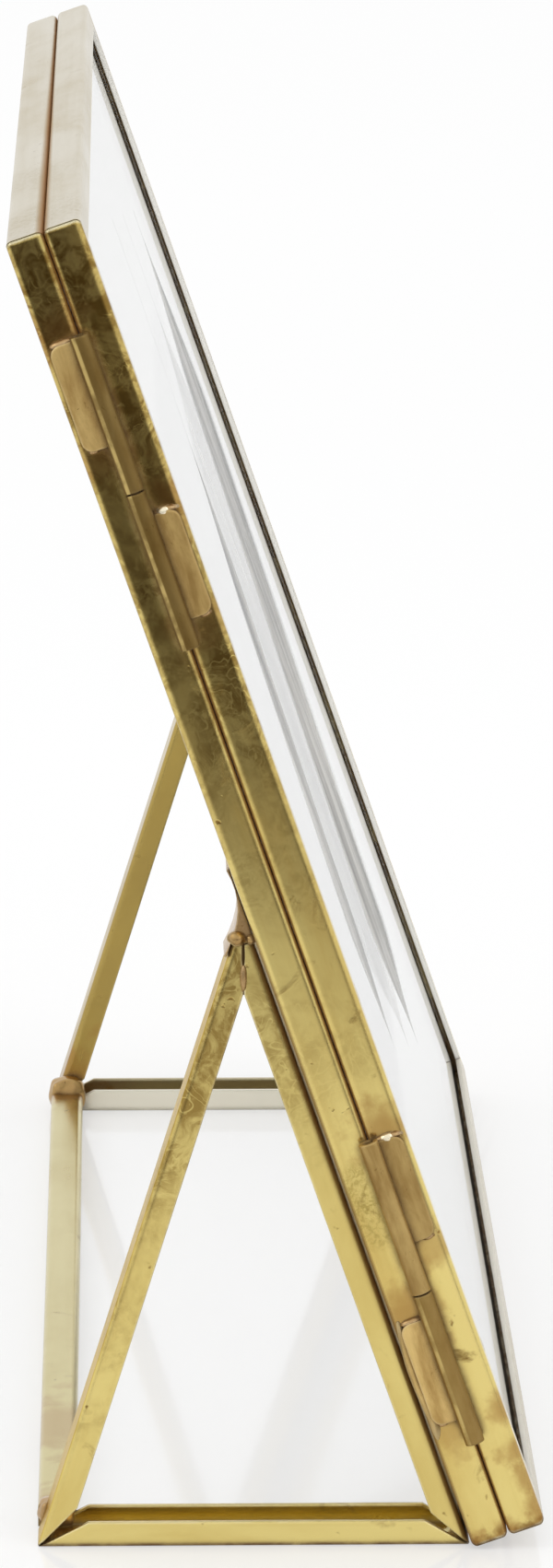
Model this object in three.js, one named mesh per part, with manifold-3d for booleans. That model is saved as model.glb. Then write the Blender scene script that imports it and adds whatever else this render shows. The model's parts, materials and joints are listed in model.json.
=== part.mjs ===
import * as THREE from 'three';
import * as BufferGeometryUtils from 'three/addons/utils/BufferGeometryUtils.js';
import Module from 'manifold-3d';

// Double-sided tabletop photo frame of brass channel and glass.
// Two glazed leaves open like a book on a pair of rolled hinges, and the back leaf is
// soldered to an open stand of two channel triangles and a cross bar.
// Millimetres, +Z up, the picture faces -Y and the hinges are on the -X side.

// Leaves
const LEAF_WIDTH = 190;
const LEAF_HEIGHT = 140;
const LEAN_DEG = 19.25;
const SEAM_GAP = 0.1;
const LEAF_LIFT = 0.2;

// Brass channel, folded from thin sheet
const SHEET = 0.6;
const BEND_RADIUS = 0.6;
const LEAF_CHANNEL_WEB = 3.8;
const LEAF_CHANNEL_DEPTH = 2.6;
const LEAF_MITRE_GAP = 0.12;

// Glass panes and picture card
const GLASS_THICKNESS = 2;
const GLASS_EDGE_GAP = 0.3;
const GLASS_ARRIS = 0.2;
const CARD_THICKNESS = 0.4;
const CARD_EDGE_GAP = 0.6;
const CARD_GLASS_GAP = 0.2;

// Hinges
const PIN_RADIUS = 0.5;
const PIN_CLEARANCE = 0.08;
const PIN_CHAMFER = 0.15;
const PIN_RECESS = 0.2;
const HINGE_STRIP = 0.4;
const KNUCKLE_LENGTH = 16.3;
const KNUCKLE_GAP = 0.2;
const HINGE_END_OFFSET = 10.7;
const ROLL_OPENING_DEG = 68;
const ROLL_LEAD = 0.3;
const TAB_LENGTH = 11;
const TAB_MARGIN = 0.5;
const TAB_CORNER = 1.1;
const TAB_DROP_UPPER = 0.4;
const TAB_DROP_LOWER = 2.7;
const SOLDER_FILM = 0.15;

// Closing tongue on the free edge
const TONGUE_SHEET = 0.4;
const TONGUE_WIDTH = 10;
const TONGUE_LAP = 2.2;
const TONGUE_MARGIN = 0.6;
const TONGUE_FLARE_RADIUS = 1.2;
const TONGUE_FLARE_DEG = 40;

// Stand
const STAND_CHANNEL_WEB = 6.5;
const STAND_CHANNEL_DEPTH = 2.6;
const STAND_INSET = 1.5;
const STAND_GAP = 0.3;
const STAND_REACH = 43.5;
const STAND_LEG = 69.3;
const STAND_CORNER_GAP = 0.12;
const FRONT_NOTCH_DEG = 5;
const REAR_NOTCH_DEG = 9;
const APEX_BLUNT = 3.2;
const CROSS_BAR_LIFT = 0.2;
const CROSS_BAR_END_GAP = 0.3;

// Solder fillet between each triangle's apex and the back leaf
const FILLET_RISE = 4.5;
const FILLET_RUN = 1.6;
const FILLET_HOLLOW = 0.8;
const FILLET_EDGE = 0.25;
const FILLET_GAP = 0.15;

// Faces along round stretches
const BEND_STEPS = 4;
const ROLL_STEPS = 28;
const PIN_SIDES = 24;

const wasm = await Module();
wasm.setup();

const AGED_BRASS = { color: 0xa98f4c, roughness: 0.34, metalness: 1 };
const STAND_BRASS = { color: 0xc2aa62, roughness: 0.3, metalness: 1 };
const HINGE_BRASS = { color: 0xa87f4a, roughness: 0.5, metalness: 1 };
const PIN_BRASS = { color: 0x8a7038, roughness: 0.4, metalness: 1 };
const SOLDER = { color: 0xb99678, roughness: 0.38, metalness: 1 };
const CLEAR_GLASS = { color: 0xeaf3ee, roughness: 0.03, metalness: 0, transparent: true, opacity: 0.3 };
const WHITE_CARD = { color: 0xf4f3ef, roughness: 0.85, metalness: 0 };

function namedMesh(name, geometry, finish) {
  const mesh = new THREE.Mesh(geometry, new THREE.MeshStandardMaterial(finish));
  mesh.name = name;
  return mesh;
}

function toSolid(geometry) {
  const bare = geometry.clone();
  bare.deleteAttribute('normal');
  bare.deleteAttribute('uv');
  const merged = BufferGeometryUtils.mergeVertices(bare, 1e-5);
  return new wasm.Manifold(new wasm.Mesh({
    numProp: 3,
    vertProperties: new Float32Array(merged.attributes.position.array),
    triVerts: new Uint32Array(merged.index.array),
  }));
}

function toGeometry(solid) {
  const mesh = solid.getMesh();
  const geometry = new THREE.BufferGeometry();
  geometry.setAttribute('position', new THREE.BufferAttribute(mesh.vertProperties, 3));
  geometry.setIndex(new THREE.BufferAttribute(mesh.triVerts, 1));
  geometry.computeVertexNormals();
  return geometry;
}

// U section: x runs across the web, y runs inwards from the web's outer face.
function channelSection(web, depth) {
  const half = web / 2;
  const section = new THREE.Shape();
  section.moveTo(-half, depth);
  section.lineTo(-half, BEND_RADIUS);
  section.absarc(BEND_RADIUS - half, BEND_RADIUS, BEND_RADIUS, Math.PI, 1.5 * Math.PI, false);
  section.lineTo(half - BEND_RADIUS, 0);
  section.absarc(half - BEND_RADIUS, BEND_RADIUS, BEND_RADIUS, 1.5 * Math.PI, 2 * Math.PI, false);
  section.lineTo(half, depth);
  section.lineTo(half - SHEET, depth);
  section.lineTo(half - SHEET, SHEET);
  section.lineTo(SHEET - half, SHEET);
  section.lineTo(SHEET - half, depth);
  section.closePath();
  return section;
}

// A length of channel whose ends are cut back by startCut and endCut, both functions of
// the distance from the web's outer face.
function channelLength(web, depth, length, startCut, endCut) {
  const geometry = new THREE.ExtrudeGeometry(channelSection(web, depth), {
    depth: length,
    bevelEnabled: false,
    curveSegments: BEND_STEPS,
  });
  const position = geometry.attributes.position;
  for (let i = 0; i < position.count; i += 1) {
    const inward = position.getY(i);
    const atStart = position.getZ(i) < length / 2;
    position.setZ(i, atStart ? startCut(inward) : length - endCut(inward));
  }
  geometry.computeVertexNormals();
  return geometry;
}

// The end cut at a corner: a mitre along the bisector, opened by the notch angle.
function mitreCut(angle, notch, gap) {
  const setBack = gap / 2 / Math.sin(angle / 2);
  const slope = 1 / Math.tan(angle / 2 - notch);
  return (inward) => setBack + inward * slope;
}

// A length whose pointed ends are cut square at a blunt corner.
function bluntLength(geometry, length, startBlunt, endBlunt) {
  const solid = toSolid(geometry)
    .trimByPlane([0, 0, 1], startBlunt)
    .trimByPlane([0, 0, -1], endBlunt - length);
  return toGeometry(solid);
}

// A closed ring of mitred channel lengths along flat corners, webs outwards.
// normal is the ring's axis: the inside lies on the left of each length, seen down it.
function channelRing({ names, corners, normal, web, depth, notches, blunts, gap, finish }) {
  const count = corners.length;
  const along = corners.map((corner, i) => corners[(i + 1) % count].clone().sub(corner).normalize());
  const cuts = corners.map((corner, i) => {
    const back = along[(i + count - 1) % count].clone().negate();
    return mitreCut(back.angleTo(along[i]), notches[i], gap);
  });
  return corners.map((corner, i) => {
    const next = (i + 1) % count;
    const length = corner.distanceTo(corners[next]);
    const mitred = channelLength(web, depth, length, cuts[i], cuts[next]);
    const blunted = blunts[i] > 0 || blunts[next] > 0;
    const geometry = blunted ? bluntLength(mitred, length, blunts[i], blunts[next]) : mitred;
    const bar = namedMesh(names[i], geometry, finish);
    const inward = normal.clone().cross(along[i]);
    const across = inward.clone().cross(along[i]);
    bar.quaternion.setFromRotationMatrix(new THREE.Matrix4().makeBasis(across, inward, along[i]));
    bar.position.copy(corner);
    return bar;
  });
}

function roundedRectangle(width, height, radius) {
  const shape = new THREE.Shape();
  shape.moveTo(radius, 0);
  shape.lineTo(width - radius, 0);
  shape.absarc(width - radius, radius, radius, -Math.PI / 2, 0, false);
  shape.lineTo(width, height - radius);
  shape.absarc(width - radius, height - radius, radius, 0, Math.PI / 2, false);
  shape.lineTo(radius, height);
  shape.absarc(radius, height - radius, radius, Math.PI / 2, Math.PI, false);
  shape.lineTo(0, radius);
  shape.absarc(radius, radius, radius, Math.PI, 1.5 * Math.PI, false);
  return shape;
}

// A glass pane with ground arrises, centred on its own middle and facing along y.
function glassPane(width, height) {
  const shape = new THREE.Shape();
  shape.moveTo(-width / 2, -height / 2);
  shape.lineTo(width / 2, -height / 2);
  shape.lineTo(width / 2, height / 2);
  shape.lineTo(-width / 2, height / 2);
  shape.closePath();
  const geometry = new THREE.ExtrudeGeometry(shape, {
    depth: GLASS_THICKNESS - 2 * GLASS_ARRIS,
    bevelEnabled: true,
    bevelThickness: GLASS_ARRIS,
    bevelSize: GLASS_ARRIS,
    bevelOffset: -GLASS_ARRIS,
    bevelSegments: 1,
  });
  geometry.translate(0, 0, GLASS_ARRIS - GLASS_THICKNESS / 2);
  geometry.rotateX(Math.PI / 2);
  return geometry;
}

const barrelBore = PIN_RADIUS + PIN_CLEARANCE;
const barrelRadius = barrelBore + HINGE_STRIP;
const tabReach = SEAM_GAP / 2 + LEAF_CHANNEL_WEB - TAB_MARGIN;

// A hinge knuckle rolled from strip: the barrel's axis is z, the leaf's web lies on the
// +x side, and the flat tab runs out along +y from tabStart to tabStart + TAB_LENGTH.
function rolledKnuckle(tabStart) {
  const rollEnd = THREE.MathUtils.degToRad(ROLL_OPENING_DEG);
  const roll = new THREE.Shape();
  roll.moveTo(barrelRadius, ROLL_LEAD);
  roll.lineTo(barrelRadius, 0);
  roll.absarc(0, 0, barrelRadius, 0, rollEnd, true);
  roll.lineTo(barrelBore * Math.cos(rollEnd), barrelBore * Math.sin(rollEnd));
  roll.absarc(0, 0, barrelBore, rollEnd, 2 * Math.PI, false);
  roll.lineTo(barrelBore, ROLL_LEAD);
  roll.closePath();
  const barrel = new THREE.ExtrudeGeometry(roll, {
    depth: KNUCKLE_LENGTH,
    bevelEnabled: false,
    curveSegments: ROLL_STEPS,
  });
  const tab = new THREE.ExtrudeGeometry(roundedRectangle(tabReach, TAB_LENGTH, TAB_CORNER), {
    depth: HINGE_STRIP,
    bevelEnabled: false,
    curveSegments: BEND_STEPS,
  });
  tab.applyMatrix4(new THREE.Matrix4().makeBasis(
    new THREE.Vector3(0, 1, 0),
    new THREE.Vector3(0, 0, 1),
    new THREE.Vector3(1, 0, 0),
  ));
  tab.translate(barrelBore, 0, tabStart);
  return toGeometry(toSolid(barrel).add(toSolid(tab)));
}

function hingePin(length) {
  const profile = [
    new THREE.Vector2(0, 0),
    new THREE.Vector2(PIN_RADIUS - PIN_CHAMFER, 0),
    new THREE.Vector2(PIN_RADIUS, PIN_CHAMFER),
    new THREE.Vector2(PIN_RADIUS, length - PIN_CHAMFER),
    new THREE.Vector2(PIN_RADIUS - PIN_CHAMFER, length),
    new THREE.Vector2(0, length),
  ];
  const geometry = new THREE.LatheGeometry(profile, PIN_SIDES);
  geometry.rotateX(Math.PI / 2);
  return geometry;
}

// A spring tongue: flat strip with a flared fingernail lip at its free end.
// x is the way out from the leaf's edge and y runs from the front leaf to the back leaf.
function closingTongue(frontReach) {
  const flare = THREE.MathUtils.degToRad(TONGUE_FLARE_DEG);
  const profile = new THREE.Shape();
  profile.moveTo(0, -frontReach);
  profile.lineTo(TONGUE_SHEET, -frontReach);
  profile.lineTo(TONGUE_SHEET, TONGUE_LAP);
  profile.absarc(
    TONGUE_FLARE_RADIUS, TONGUE_LAP, TONGUE_FLARE_RADIUS - TONGUE_SHEET,
    Math.PI, Math.PI - flare, true,
  );
  profile.absarc(TONGUE_FLARE_RADIUS, TONGUE_LAP, TONGUE_FLARE_RADIUS, Math.PI - flare, Math.PI, false);
  profile.closePath();
  return new THREE.ExtrudeGeometry(profile, {
    depth: TONGUE_WIDTH,
    bevelEnabled: false,
    curveSegments: BEND_STEPS,
  });
}

// One glazed leaf: four mitred channel lengths and a pane, with its mid-plane at y.
function glazedLeaf(prefix, y) {
  const half = LEAF_WIDTH / 2;
  const bars = channelRing({
    names: ['bottom_bar', 'catch_bar', 'top_bar', 'hinge_bar'].map((bar) => prefix + '_' + bar),
    corners: [
      new THREE.Vector3(-half, y, 0),
      new THREE.Vector3(half, y, 0),
      new THREE.Vector3(half, y, LEAF_HEIGHT),
      new THREE.Vector3(-half, y, LEAF_HEIGHT),
    ],
    normal: new THREE.Vector3(0, -1, 0),
    web: LEAF_CHANNEL_WEB,
    depth: LEAF_CHANNEL_DEPTH,
    notches: [0, 0, 0, 0],
    blunts: [0, 0, 0, 0],
    gap: LEAF_MITRE_GAP,
    finish: AGED_BRASS,
  });
  const border = SHEET + GLASS_EDGE_GAP;
  const pane = namedMesh(
    prefix + '_glass',
    glassPane(LEAF_WIDTH - 2 * border, LEAF_HEIGHT - 2 * border),
    CLEAR_GLASS,
  );
  pane.position.set(0, y, LEAF_HEIGHT / 2);
  return [...bars, pane];
}

const lean = THREE.MathUtils.degToRad(LEAN_DEG);
const leafOffset = (SEAM_GAP + LEAF_CHANNEL_WEB) / 2;
const leafBack = SEAM_GAP / 2 + LEAF_CHANNEL_WEB;

// Both leaves stand in one group that leans back about the back leaf's lowest edge.
const leaves = new THREE.Group();
leaves.rotation.x = -lean;
leaves.position.set(0, -leafBack * Math.cos(lean), LEAF_LIFT + leafBack * Math.sin(lean));
leaves.add(...glazedLeaf('back', leafOffset), ...glazedLeaf('front', -leafOffset));

// The picture card stands in the back leaf's sight opening, in front of its glass.
const cardBorder = LEAF_CHANNEL_DEPTH + CARD_EDGE_GAP;
const card = namedMesh(
  'picture_card',
  new THREE.BoxGeometry(LEAF_WIDTH - 2 * cardBorder, CARD_THICKNESS, LEAF_HEIGHT - 2 * cardBorder),
  WHITE_CARD,
);
const cardBack = leafOffset - GLASS_THICKNESS / 2 - CARD_GLASS_GAP;
card.position.set(0, cardBack - CARD_THICKNESS / 2, LEAF_HEIGHT / 2);
leaves.add(card);

// Each hinge is two knuckles on one pin. In the upper hinge the back leaf's knuckle is on
// top, in the lower one the front leaf's.
const hingeAxisX = -LEAF_WIDTH / 2 - SOLDER_FILM - barrelRadius;
const hingeLength = 2 * KNUCKLE_LENGTH + KNUCKLE_GAP;

function addHinge(prefix, bottom, backOnTop) {
  const lowerTop = bottom + KNUCKLE_LENGTH;
  const upperBottom = lowerTop + KNUCKLE_GAP;
  const back = namedMesh(
    prefix + '_back_knuckle',
    rolledKnuckle(KNUCKLE_LENGTH - TAB_LENGTH - (backOnTop ? TAB_DROP_UPPER : TAB_DROP_LOWER)),
    HINGE_BRASS,
  );
  back.position.set(hingeAxisX, 0, backOnTop ? upperBottom : bottom);
  const front = namedMesh(
    prefix + '_front_knuckle',
    rolledKnuckle(backOnTop ? TAB_DROP_LOWER : TAB_DROP_UPPER),
    HINGE_BRASS,
  );
  front.rotation.x = Math.PI;
  front.position.set(hingeAxisX, 0, backOnTop ? lowerTop : bottom + hingeLength);
  const pin = namedMesh(prefix + '_hinge_pin', hingePin(hingeLength - 2 * PIN_RECESS), PIN_BRASS);
  pin.position.set(hingeAxisX, 0, bottom + PIN_RECESS);
  leaves.add(back, front, pin);
}

addHinge('upper', LEAF_HEIGHT - HINGE_END_OFFSET - hingeLength, true);
addHinge('lower', HINGE_END_OFFSET, false);

const tongue = namedMesh('closing_tongue', closingTongue(leafBack - TONGUE_MARGIN), HINGE_BRASS);
tongue.position.set(LEAF_WIDTH / 2 + SOLDER_FILM, 0, (LEAF_HEIGHT - TONGUE_WIDTH) / 2);
leaves.add(tongue);

// Outer corners of a stand triangle, seen from the side. The front bar runs up the back
// leaf at a small gap, and the strut comes down from its top to the rear corner.
const up = new THREE.Vector3(0, Math.sin(lean), Math.cos(lean));
const rearward = new THREE.Vector3(0, Math.cos(lean), -Math.sin(lean));
const frontFoot = new THREE.Vector3(0, (STAND_GAP - LEAF_LIFT * Math.sin(lean)) / Math.cos(lean), 0);
const rearFoot = frontFoot.clone().add(new THREE.Vector3(0, STAND_REACH, 0));
const apex = frontFoot.clone().addScaledVector(up, STAND_LEG);

function standTriangle(prefix, x) {
  const notches = [FRONT_NOTCH_DEG, REAR_NOTCH_DEG, 0].map((notch) => THREE.MathUtils.degToRad(notch));
  const bars = channelRing({
    names: ['base_bar', 'strut', 'front_bar'].map((bar) => prefix + '_stand_' + bar),
    corners: [frontFoot, rearFoot, apex],
    normal: new THREE.Vector3(1, 0, 0),
    web: STAND_CHANNEL_WEB,
    depth: STAND_CHANNEL_DEPTH,
    notches,
    blunts: [0, 0, APEX_BLUNT],
    gap: STAND_CORNER_GAP,
    finish: STAND_BRASS,
  });
  const triangle = new THREE.Group();
  triangle.add(...bars, namedMesh(prefix + '_apex_solder', apexSolder(), SOLDER));
  triangle.position.x = x;
  return triangle;
}

// Solder that fills the blunt apex and is drawn up the back leaf: flat on the leaf and on
// the bars' ends, hollow outside.
function apexSolder() {
  const strutDown = rearFoot.clone().sub(apex).normalize();
  const strutOut = new THREE.Vector3(0, -strutDown.z, strutDown.y);
  const barDown = up.clone().negate();
  const midway = strutDown.clone().add(barDown).normalize();
  const seat = APEX_BLUNT - FILLET_GAP;
  const tail = APEX_BLUNT + FILLET_RUN;
  const leafSide = FILLET_GAP - STAND_GAP;
  const place = (direction, distance, out, offset) => {
    const point = apex.clone().addScaledVector(direction, distance).addScaledVector(out, offset);
    return new THREE.Vector2(point.y, point.z);
  };
  const hollow = place(up, 0, rearward, -FILLET_HOLLOW);
  const top = place(up, FILLET_RISE, rearward, leafSide + FILLET_EDGE);
  const leafTop = place(up, FILLET_RISE, rearward, leafSide);
  const leafFoot = place(barDown, seat, rearward, leafSide);
  const profile = new THREE.Shape([
    place(midway, seat / midway.dot(barDown), rearward, 0),
    place(strutDown, seat, strutOut, FILLET_GAP),
    place(strutDown, tail, strutOut, FILLET_GAP),
    place(strutDown, tail, strutOut, FILLET_GAP + FILLET_EDGE),
  ]);
  profile.quadraticCurveTo(hollow.x, hollow.y, top.x, top.y);
  profile.lineTo(leafTop.x, leafTop.y);
  profile.lineTo(leafFoot.x, leafFoot.y);
  profile.closePath();
  const geometry = new THREE.ExtrudeGeometry(profile, {
    depth: STAND_CHANNEL_WEB,
    bevelEnabled: false,
    curveSegments: 2 * BEND_STEPS,
  });
  geometry.applyMatrix4(new THREE.Matrix4().makeBasis(
    new THREE.Vector3(0, 1, 0),
    new THREE.Vector3(0, 0, 1),
    new THREE.Vector3(1, 0, 0),
  ));
  geometry.translate(-STAND_CHANNEL_WEB / 2, 0, 0);
  return geometry;
}

const triangleX = LEAF_WIDTH / 2 - STAND_INSET - STAND_CHANNEL_WEB / 2;
const stand = new THREE.Group();
stand.add(standTriangle('near', -triangleX), standTriangle('far', triangleX));

// The cross bar is leaf channel with its web up, between the rear corners.
const crossBarLength = 2 * (triangleX - STAND_CHANNEL_WEB / 2 - CROSS_BAR_END_GAP);
const squareEnd = () => 0;
const crossBar = namedMesh(
  'stand_cross_bar',
  channelLength(LEAF_CHANNEL_WEB, LEAF_CHANNEL_DEPTH, crossBarLength, squareEnd, squareEnd),
  STAND_BRASS,
);
crossBar.quaternion.setFromRotationMatrix(new THREE.Matrix4().makeBasis(
  new THREE.Vector3(0, -1, 0),
  new THREE.Vector3(0, 0, -1),
  new THREE.Vector3(1, 0, 0),
));
crossBar.position.set(
  -crossBarLength / 2,
  rearFoot.y - LEAF_CHANNEL_WEB / 2,
  CROSS_BAR_LIFT + LEAF_CHANNEL_DEPTH,
);
stand.add(crossBar);

// The finished frame stands on z = 0 with the middle of its footprint box at the origin.
const photoFrame = new THREE.Group();
photoFrame.add(leaves, stand);
photoFrame.updateMatrixWorld(true);
const box = new THREE.Box3().setFromObject(photoFrame, true);
const middle = box.getCenter(new THREE.Vector3());
photoFrame.position.set(-middle.x, -middle.y, -box.min.z);
photoFrame.updateMatrixWorld(true);

export default photoFrame;
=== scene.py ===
# %% [markdown]
# A double-sided tabletop photo frame. Each leaf is a pane of glass in folded brass channel. The leaves open
# like a book on rolled hinges, and an open triangle of the same channel carries each end of the back leaf.
# The solids come ready made, so this lesson gives them their finishes and adds the solder of the real object.

# %% Load the solids
import json
import math
import bpy
from mathutils import Matrix, Vector


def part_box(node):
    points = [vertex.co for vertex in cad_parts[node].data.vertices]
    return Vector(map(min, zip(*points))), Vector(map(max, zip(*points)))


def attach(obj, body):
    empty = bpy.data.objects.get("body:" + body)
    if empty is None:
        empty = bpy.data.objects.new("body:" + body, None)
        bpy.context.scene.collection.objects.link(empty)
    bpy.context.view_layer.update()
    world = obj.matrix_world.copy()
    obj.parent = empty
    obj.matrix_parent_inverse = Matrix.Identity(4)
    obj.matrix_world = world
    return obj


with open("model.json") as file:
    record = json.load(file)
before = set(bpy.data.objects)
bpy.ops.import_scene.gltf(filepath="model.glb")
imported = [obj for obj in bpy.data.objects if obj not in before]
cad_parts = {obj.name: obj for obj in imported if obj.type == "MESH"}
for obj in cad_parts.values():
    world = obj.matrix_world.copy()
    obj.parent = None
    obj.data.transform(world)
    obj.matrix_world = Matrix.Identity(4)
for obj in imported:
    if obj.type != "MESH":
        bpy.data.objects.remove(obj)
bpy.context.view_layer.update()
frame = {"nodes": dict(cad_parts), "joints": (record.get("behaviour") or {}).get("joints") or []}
nodes = frame["nodes"]
scene = bpy.context.scene
MILLIMETRE = 0.001
print("loaded", len(nodes), "solids")

# %% [markdown]
# Almost everything follows the slope of the leaves. The hinge axis already runs up that slope, so the slope
# and a leaf's own directions are read from the joint, and its edges from the solids, instead of being typed
# in a second time.

# %% Measure the leaves
hinge = frame["joints"][0]
hinge_foot = Vector(hinge["pos_m"])
leaf_up = -Vector(hinge["axis"]).normalized()
leaf_rearward = leaf_up.cross(Vector((1, 0, 0)))
lean = math.atan2(leaf_up.y, leaf_up.z)


def reach_along(name, direction, start):
    """The lowest and highest place of a solid along a direction, measured from a start."""
    places = [(vertex.co - start).dot(direction) for vertex in nodes[name].data.vertices]
    return min(places), max(places)


hinge_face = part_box("back_hinge_bar")[0].x
catch_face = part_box("back_catch_bar")[1].x
stile_foot, stile_top = reach_along("back_hinge_bar", leaf_up, hinge_foot)
leaf_half_width = (catch_face - hinge_face) / 2
leaf_half_height = (stile_top - stile_foot) / 2
leaf_centre = hinge_foot + leaf_up * (stile_top + stile_foot) / 2
leaf_centre.x = (catch_face + hinge_face) / 2
channel_near, channel_far = reach_along("back_hinge_bar", leaf_rearward, leaf_centre)
channel_middle = (channel_near + channel_far) / 2
channel_half = (channel_far - channel_near) / 2
barrel_radius = hinge_foot.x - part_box("upper_back_knuckle")[0].x


def on_leaf(across, behind, up):
    """A point of the leaves: metres across and up from their centre, and behind the seam."""
    return leaf_centre + Vector((across, 0, 0)) + leaf_rearward * behind + leaf_up * up


print("lean", round(math.degrees(lean), 2), "degrees, leaf", round(2 * leaf_half_height, 4), "m high")

# %% [markdown]
# The picture is taken from the hinge side, a little above the table and almost along the glass. A long lens
# from about 80 cm gives the flat, narrow view. The aim is a point on the hinge side, above its middle.

# %% Place the camera
CAMERA_DISTANCE = 0.7992
CAMERA_ELEVATION = math.radians(11.75)
CAMERA_AZIMUTH = math.radians(-1.10)
CAMERA_LENS = 186.3
AIM_REARWARD = 0.0003
AIM_HEIGHT = 0.0787

aim = Vector((hinge_face, AIM_REARWARD, AIM_HEIGHT))
level = math.cos(CAMERA_ELEVATION)
view_line = Vector((
    level * math.cos(CAMERA_AZIMUTH),
    level * math.sin(CAMERA_AZIMUTH),
    -math.sin(CAMERA_ELEVATION),
))
lens = bpy.data.cameras.new("camera")
lens.lens = CAMERA_LENS
camera = bpy.data.objects.new("camera", lens)
camera.location = aim - view_line * CAMERA_DISTANCE
camera.rotation_euler = view_line.to_track_quat("-Z", "Y").to_euler()
scene.collection.objects.link(camera)
scene.camera = camera
scene.view_settings.view_transform = "Standard"
print("camera at", [round(value, 4) for value in camera.location])

# %% [markdown]
# Light and finishes are both built from shader nodes. These helpers fill the sockets of a node, with plain
# values or with what other nodes say, and do arithmetic. A socket knows the tree that it belongs to, so the
# helpers find the tree from the sockets they get.


# %% Helpers: sockets and sums
def give(socket, value):
    """Give a socket a plain value, or link it to another socket."""
    if isinstance(value, bpy.types.NodeSocket):
        socket.id_data.links.new(value, socket)
    else:
        socket.default_value = value


def fill(node, **values):
    """Give the named sockets of a node their values, and return the node."""
    for name, value in values.items():
        give(node.inputs[name.replace("_", " ")], value)
    return node


def new_node(kind, *values):
    """A new node in the tree that these values come from. At least one of them is a socket."""
    tree = next(value.id_data for value in values if isinstance(value, bpy.types.NodeSocket))
    return tree.nodes.new("ShaderNode" + kind)


def sums(operation, first, *others):
    """Arithmetic on sockets and numbers, one step for each value after the first."""
    result = first
    for value in others or (0.0,):
        step = new_node("Math", result, value)
        step.operation = operation
        give(step.inputs[0], result)
        give(step.inputs[1], value)
        result = step.outputs[0]
    return result


def plus(*values):
    """These values added up."""
    return sums("ADD", *values)


def minus(first, second):
    """The first value less the second."""
    return sums("SUBTRACT", first, second)


def times(*values):
    """These values multiplied."""
    return sums("MULTIPLY", *values)


def largest(*values):
    """The largest of these values."""
    return sums("MAXIMUM", *values)


def unsigned(value):
    """A value without its sign."""
    return sums("ABSOLUTE", value)


print("helpers for sums ready")

# %% [markdown]
# The room is a plain white studio. What the camera, the metal and the glass see of it is white, while the
# light that it sheds is softer, so a colour renders about as it is written. Two broad lamps add the thin
# bright lines on the rounded folds.

# %% Light the room
WHITE = (1, 1, 1, 1)
ROOM_LIGHT = 0.97
LAMP_SIZE = 0.7
KEY_POWER = 1.9
KEY_PLACE = (-0.7, -0.9, 1.1)
FILL_POWER = 1.8
FILL_PLACE = (-0.3, 1.1, 0.9)


def seen_directly(tree):
    """One for rays from the camera, or by way of metal or glass, and nought for the light on a surface."""
    ray = tree.nodes.new("ShaderNodeLightPath").outputs
    return largest(ray["Is Camera Ray"], ray["Is Glossy Ray"], ray["Is Transmission Ray"])


def mix_shaders(share, first, second, way_out):
    """Send a mix of two shaders to the way out of a tree."""
    mix = new_node("MixShader", share)
    for socket, value in zip(mix.inputs, (share, first.outputs[0], second.outputs[0])):
        give(socket, value)
    give(mix.id_data.nodes[way_out].inputs["Surface"], mix.outputs[0])


def soft_lamp(name, place, power):
    """A square lamp that looks at the middle of the frame."""
    light = bpy.data.lights.new(name, "AREA")
    light.size = LAMP_SIZE
    light.energy = power
    lamp = bpy.data.objects.new(name, light)
    lamp.location = place
    towards = Vector((0, 0, AIM_HEIGHT)) - lamp.location
    lamp.rotation_euler = towards.to_track_quat("-Z", "Y").to_euler()
    scene.collection.objects.link(lamp)


room = bpy.data.worlds.new("studio")
room.use_nodes = True
scene.world = room
room_tree = room.node_tree
shed_light = fill(room_tree.nodes["Background"], Color=WHITE, Strength=ROOM_LIGHT)
seen_white = room_tree.nodes.new("ShaderNodeBackground")
fill(seen_white, Color=WHITE, Strength=1.0)
mix_shaders(seen_directly(room_tree), shed_light, seen_white, "World Output")
soft_lamp("key_lamp", KEY_PLACE, KEY_POWER)
soft_lamp("fill_lamp", FILL_PLACE, FILL_POWER)
print("lamps", KEY_POWER, "and", FILL_POWER, "watts")

# %% [markdown]
# The table is pale and has a slight gloss that mirrors the far triangle faintly. Half of what is seen of it
# is a plain white glow, which keeps the background white, and the other half takes the shadows.

# %% Lay the table
TABLE_HALF = 8.0
TABLE_GLOW = 0.5
TABLE_PALE = (0.95, 0.95, 0.95, 1)
TABLE_ROUGHNESS = 0.07
TABLE_SHEEN = 0.5


def lay_plane(name, size):
    """A square plane at the origin."""
    bpy.ops.mesh.primitive_plane_add(size=size)
    plane = bpy.context.active_object
    plane.name = name
    return plane


def new_finish(name):
    """A new material, its node tree and its shader."""
    finish = bpy.data.materials.new(name)
    finish.use_nodes = True
    return finish, finish.node_tree, finish.node_tree.nodes["Principled BSDF"]


table = lay_plane("table", 2 * TABLE_HALF)
table_finish, table_tree, table_top = new_finish("pale_table")
fill(table_top, Base_Color=TABLE_PALE, Roughness=TABLE_ROUGHNESS, Specular_IOR_Level=TABLE_SHEEN)
table_glow = table_tree.nodes.new("ShaderNodeEmission")
table_share = times(seen_directly(table_tree), TABLE_GLOW)
mix_shaders(table_share, table_top, table_glow, "Material Output")
table.data.materials.append(table_finish)
print("table", 2 * TABLE_HALF, "m wide")

# %% [markdown]
# A finish changes from place to place. These helpers give the coordinates of a point, in the frame of the
# whole object or along a bar, and turn them into noise, smooth steps and blended colours.

# %% Helpers: places, steps and colours
TURN_ALONG_LEAF = (-lean, 0.0, 0.0)


def object_coordinates(tree):
    """Coordinates in the frame of the whole object."""
    return tree.nodes.new("ShaderNodeTexCoord").outputs["Object"]


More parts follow.
